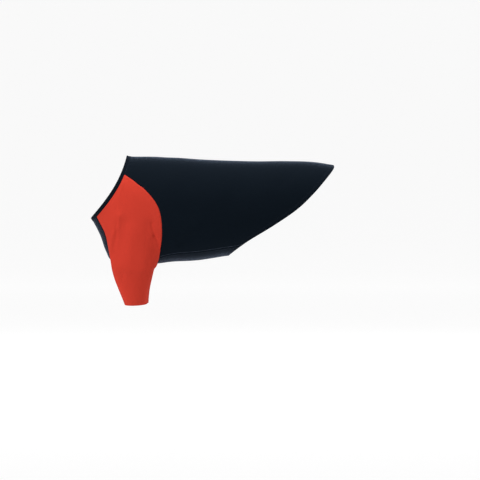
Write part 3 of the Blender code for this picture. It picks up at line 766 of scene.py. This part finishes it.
def sleeve_form():
    """Coarse rows from the armhole over the shoulder and down the leg to the cuff, at +Y."""
    steps = FRONT_STEPS + NECK_SLEEVE_STEPS + REAR_STEPS
    spots = armhole.at(np.arange(steps) / steps)
    edge = figure(*spots.T)
    run = np.append(0, np.cumsum(np.linalg.norm(np.roll(edge, -1, 0) - edge, axis=1)))
    corners = [0, FRONT_STEPS // 2, FRONT_STEPS, FRONT_STEPS + NECK_SLEEVE_STEPS, steps]
    angle = np.interp(run[:-1], run[corners], np.radians(LEG_ANGLES))
    leg = leg_points(angle, LEG_ROWS)
    shoulder = np.vstack([np.linspace(edge, leg[0], SHOULDER_ROWS + 1), leg[1:2]])
    shoulder[1], _ = inside_armhole(spots, INSET, DROP)
    shoulder[2], low = inside_armhole(spots, 2 * INSET, 2 * DROP)
    web = np.array([(spot.x, edge[0, 1], spot.z) for spot in WEB])
    web[:, 1] += (leg[0, 0, 1] - edge[0, 1]) * (web[:, 2] - web[0, 2]) / (leg[0, 0, 2] - web[0, 2])
    web = smooth_through(np.vstack([web, leg[:2, 0]]), np.linspace(0, len(WEB), FINE))
    down = np.append(0, np.cumsum(np.linalg.norm(np.diff(web, axis=0), axis=1)))
    even = np.linspace(0, down[-1], SHOULDER_ROWS + 1)
    shoulder[:-1, 0] = np.stack([np.interp(even, down, axis) for axis in web.T], -1)
    held = np.zeros(shoulder.shape[:2], bool)
    held[[0, 1, -2, -1]] = True
    held[2] = low < STILL_ON_FIGURE
    held[:, 0] = True
    return np.vstack([least_bent(shoulder, held), leg[2:]])


def finer(grid, places, columns):
    """Catmull-Rom through a closed grid both ways: at these row places, and this many columns all round."""
    rows, across = grid.shape[:2]
    tall = smooth_through(grid.reshape(rows, -1), places).reshape(len(places), across, 3)
    looped = np.concatenate([tall[:, -1:], tall, tall[:, :2]], 1).swapaxes(0, 1)
    spots = 1 + np.arange(columns) * across / columns
    wide = smooth_through(looped.reshape(across + 3, -1), spots)
    return wide.reshape(columns, len(places), 3).swapaxes(0, 1)


def loop_normals(grid):
    """Outward normals of a closed grid: the cross product of its slopes down and round."""
    return unit(np.cross(np.gradient(grid, axis=0), np.roll(grid, -1, 1) - np.roll(grid, 1, 1)))


red_jersey = jersey("red_jersey", (0.465, 0.036, 0.021), (1.0, 0.5, 0.4, 0.04), 0.03)
red_thread = jersey("red_thread", (0.46, 0.038, 0.022), (1.0, 0.5, 0.4, 0.1), 0.2)
CUFF_TURNED = 11.6
CUFF_PROFILE = turned_profile((4.0, 8.0, 10.9), CUFF_TURNED)
CUFF_REACHES = [max(reach, 0.0) for reach, _ in CUFF_PROFILE] + list(NEEDLES)
SLEEVE_ROWS, SLEEVE_COLUMNS = 110, 258
SLEEVE_PUCKER = 0.55
SETTLED = 1.5  # coarse rows over which the finer sleeve is drawn to the exact line of the seam
form = sleeve_form()
row_places = crowded(SLEEVE_ROWS, AT_SEAM, AT_CUFF) * (len(form) - 1)
sleeve = finer(form, row_places, SLEEVE_COLUMNS)
around_armhole = armhole.at(np.arange(SLEEVE_COLUMNS) / SLEEVE_COLUMNS).T
edge = figure(*around_armhole)
edge_normal = {-1: figure_normal(*around_armhole) * (1, -1, 1), 1: figure_normal(*around_armhole)[::-1]}
sleeve += np.clip(1 - row_places / SETTLED, 0, 1)[:, None, None] ** 2 * (edge - sleeve[0])
for side, word in ((-1, "left"), (1, "right")):
    points = sleeve * (1, side, 1)
    if side > 0:
        points = points[:, ::-1]
    normal = loop_normals(points)
    from_seam, from_cuff = lengths(points, 0), -lengths(points, 0, len(points) - 1)
    reach_rows = np.interp(CUFF_REACHES, from_cuff[::-1].mean(1), np.arange(len(points)))
    cuffs = smooth_through(points[::-1].reshape(len(points), -1), reach_rows).reshape(-1, SLEEVE_COLUMNS, 3)
    height = fold_heights(points, normal, SLEEVE_FOLDS, side) * np.clip(from_seam / FOLD_EASE, 0, 1)
    height += seam_relief(from_seam) + hem_relief(from_cuff)
    height += puckers(from_seam, lengths(points, 1)[:1], SLEEVE_PUCKER)
    sewn_share = np.exp(-((from_seam / SEAM_PUFF_AT) ** 2))[..., None]
    points = points + height[..., None] * unit(sewn_share * edge_normal[side] + (1 - sewn_share) * normal)
    looped = np.hstack([points, points[:, :1]])
    sleeve_cut = np.stack([lengths(looped, 1, SLEEVE_COLUMNS // 2), lengths(looped, 0)], -1)
    piece = cloth_piece(f"sleeve_cloth_{word}", points, sleeve_cut, red_jersey, closed=True)
    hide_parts(f"sleeve_{word}")
    up = unit(cuffs[0] - cuffs[1])  # the half oval is hollowed upwards here, its rims level with the edge
    reach, out = np.array(CUFF_PROFILE).T[..., None, None]
    turned = cuffs[: len(CUFF_PROFILE)] + out * normal[-1]
    turned = (turned - np.minimum(reach, 0) * up)[::-1]
    cuff_turn = cloth_piece(f"cuff_turn_{word}", turned, strip_cut(turned), red_jersey, True, True, 0)
    rows = [stitch_row(cuffs[row] + THREAD_LIFT * normal[-1], normal[-1]) for row in (-2, -1)]
    cuff_stitches = thread_piece(f"cuff_stitches_{word}", rows, red_thread)


# ---------------------------------------------------------------- inner seams
# Inside, the raw edges of every seam are trimmed together and overlocked into one soft narrow ridge, which
# is pressed flat across the join and closes it. The one low on each flank ends where the hem is turned over.
EDGE_REACH, EDGE_DEPTH, EDGE_HALF = 3.2, -2.0, 0.42  # half width, depth of the middle, half thickness
EDGE_TAPER = 2.5  # a ridge thins out over this much of its ends
EDGE_STEP, EDGE_SIDES = 1.6, 12
EDGE_ROUNDNESS = 0.7
JOINED = 1e-7  # metres: points nearer than this at a ridge's ends are one


def swollen(share, power):
    """|share|^power with the sign of the sine or cosine that it is, which squares off a circle."""
    return np.sign(share) * np.abs(share) ** power


def ridge(line, last):
    """A flat oval carried along a line: reach = a |cos|^q, out = d + b |sin|^q, both thinned at the ends."""
    share = np.linspace(0, last, int(last * line.length / EDGE_STEP))
    run = share * line.length
    thin = np.sqrt(np.clip(np.minimum(run, run[::-1]) / EDGE_TAPER, 0, 1))
    spots, heading = square_to(line, share)
    rows = []
    for turn in np.linspace(0, 2 * np.pi, EDGE_SIDES, endpoint=False):
        reach = EDGE_REACH * swollen(np.cos(turn), EDGE_ROUNDNESS)
        out = EDGE_DEPTH + EDGE_HALF * swollen(np.sin(turn), EDGE_ROUNDNESS) * thin
        moved = walked(spots, heading, reach * thin[:, None])
        rows.append(figure(*moved.T) + out[:, None] * figure_normal(*moved.T))
    return np.array(rows)


overlock = jersey("overlock_thread", (0.006, 0.010, 0.017), (0.5, 0.6, 0.8, 0.1), 0.05, ribs=True)
for word, line, last in (
    ("rear", rear_seam, 1.0),
    ("front", front_seam, 1.0),
    ("flank", side_seam, 1 - TURNED / side_seam.length),
):
    for side, where in ((-1, "left"), (1, "right")):
        points = (ridge(line, last) * (1, side, 1))[::side]
        looped = np.vstack([points, points[:1]])
        seam_cut = np.stack([lengths(looped, 1), lengths(looped, 0)], -1)
        seam = cloth_piece(f"inner_seam_{word}_{where}", points, seam_cut, overlock, tube=True, thickness=0)
        mesh = bmesh.new()
        mesh.from_mesh(seam.data)
        bmesh.ops.remove_doubles(mesh, verts=mesh.verts, dist=JOINED)
        mesh.to_mesh(seam.data)
        mesh.free()


# ---------------------------------------------------------------- neck binding
# A strip of navy rib folded over the raw neck edge of all four panels, stretched a little and sewn through,
# so that it stands slightly proud and draws the opening in.
BAND_PROUD, BAND_WALL = 0.6, 2.3  # how far it stands out of the panels, and its whole thickness
BAND_ROUNDNESS = 0.5
BAND_SIDES, NECK_PLACES = 28, 240
BINDING_NEEDLE, BINDING_LIFT = 8.6, 0.05  # the row of stitches, behind the neck edge and off the cloth
profile_angle = np.linspace(0, 2 * np.pi, BAND_SIDES, endpoint=False)
band_back = BAND_WIDTH / 2 * (1 - swollen(np.cos(profile_angle), BAND_ROUNDNESS))
band_out = BAND_PROUD - BAND_WALL / 2 * (1 - swollen(np.sin(profile_angle), BAND_ROUNDNESS))
around_neck = np.linspace(0, np.pi, NECK_PLACES)
band_rows = []
for back, out in zip(band_back, band_out):
    ring = neck_rings(around_neck, back)
    band_rows.append(figure(ring, around_neck) + out * figure_normal(ring, around_neck))
band_points = round_strip(np.array(band_rows))
navy_rib = jersey("navy_rib", (0.0024, 0.0046, 0.0078), (0.50, 0.62, 0.86, 0.14), 0.02, ribs=True)
neck_binding = cloth_piece("neck_binding", band_points, strip_cut(band_points), navy_rib, True, True, 0)
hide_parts("neck_band")
ring = neck_rings(around_neck, BINDING_NEEDLE)
normal = figure_normal(ring, around_neck)
line = figure(ring, around_neck) + (BAND_PROUD + BINDING_LIFT) * normal
sewn_through = stitch_row(*round_strip(np.array([line, normal])))
binding_stitches = thread_piece("binding_stitches", [sewn_through], navy_thread)


# ---------------------------------------------------------------- studio
# A pale floor that curves up far away all round, a broad soft light overhead, two weaker ones from the head
# end and from behind the tail, and an even surround. The camera looks square at the wearer's left side.
PIXEL = 2.7  # millimetres of the shirt to one pixel of the picture
PICTURE = 480
ORIGIN_PX, ORIGIN_PY = 150.5, 157.16  # where the origin lies in the picture
LENS, SENSOR = 300.0, 36.0
view_width = PICTURE * PIXEL * MM
camera = bpy.data.objects.new("camera", bpy.data.cameras.new("camera"))
camera.data.lens = LENS
camera.data.sensor_width = SENSOR
camera.data.clip_end = 200.0
camera.location = ((PICTURE / 2 - ORIGIN_PX) * PIXEL * MM, -LENS / SENSOR * view_width,
                   (ORIGIN_PY - PICTURE / 2) * PIXEL * MM)
camera.rotation_euler = (np.pi / 2, 0, 0)
bpy.context.scene.collection.objects.link(camera)
bpy.context.scene.camera = camera

FLOOR_Z = -0.56
FLOOR_SIDES, SWEEP_ROWS = 72, 12
LEVEL_RADII, SWEEP_FROM, SWEEP = (0, 2, 6), 18, 8  # metres: level rings, then a quarter round
turn = np.linspace(0, 2 * np.pi, FLOOR_SIDES, endpoint=False)
rise = np.linspace(0, np.pi / 2, SWEEP_ROWS)
floor_radius = np.concatenate([LEVEL_RADII, SWEEP_FROM + SWEEP * np.sin(rise)])[:, None]
floor_height = np.concatenate([0 * np.array(LEVEL_RADII), SWEEP * (1 - np.cos(rise))])[:, None]
floor_x, floor_y = floor_radius * np.cos(turn), floor_radius * np.sin(turn)
floor_points = np.stack([floor_x, floor_y, floor_height + 0 * turn + FLOOR_Z], -1)[::-1] / MM
floor_plan = np.hstack([floor_points, floor_points[:, :1]])[..., :2]
floor_cloth = bpy.data.materials.new("studio_floor")
floor_cloth.use_nodes = True
floor_inputs = floor_cloth.node_tree.nodes["Principled BSDF"].inputs
floor_inputs["Base Color"].default_value = (0.2, 0.2, 0.2, 1)
floor_inputs["Roughness"].default_value = 0.9
floor_inputs["Emission Color"].default_value = (1, 1, 1, 1)
floor_inputs["Emission Strength"].default_value = 0.84
floor = cloth_piece("floor", floor_points, floor_plan, floor_cloth, closed=True, thickness=0)

world = bpy.data.worlds.new("surround")
world.use_nodes = True
world.node_tree.nodes["Background"].inputs["Color"].default_value = (1, 1, 1, 1)
world.node_tree.nodes["Background"].inputs["Strength"].default_value = 0.3
bpy.context.scene.world = world
bpy.context.scene.view_settings.view_transform = "Standard"

SHIRT_MIDDLE = np.array([0.17, 0.0, -0.2])
Lamp = namedtuple("Lamp", "name x y z width power")
for lamp in (
    Lamp("overhead", 0.15, -0.35, 2.2, 1.4, 85.0),
    Lamp("side", -2.6, -1.3, 0.7, 0.9, 42.0),
    Lamp("far_side", 2.8, 1.5, 0.7, 0.9, 36.0),
):
    light = bpy.data.lights.new(lamp.name, "AREA")
    light.shape = "DISK"
    light.size = lamp.width
    light.energy = lamp.power
    holder = bpy.data.objects.new(lamp.name, light)
    holder.location = (lamp.x, lamp.y, lamp.z)
    aim = SHIRT_MIDDLE - np.array(holder.location)
    tilt = np.arctan2(np.hypot(aim[0], aim[1]), -aim[2])
    holder.rotation_euler = (tilt, 0, np.arctan2(aim[0], -aim[1]) + np.pi)
    bpy.context.scene.collection.objects.link(holder)
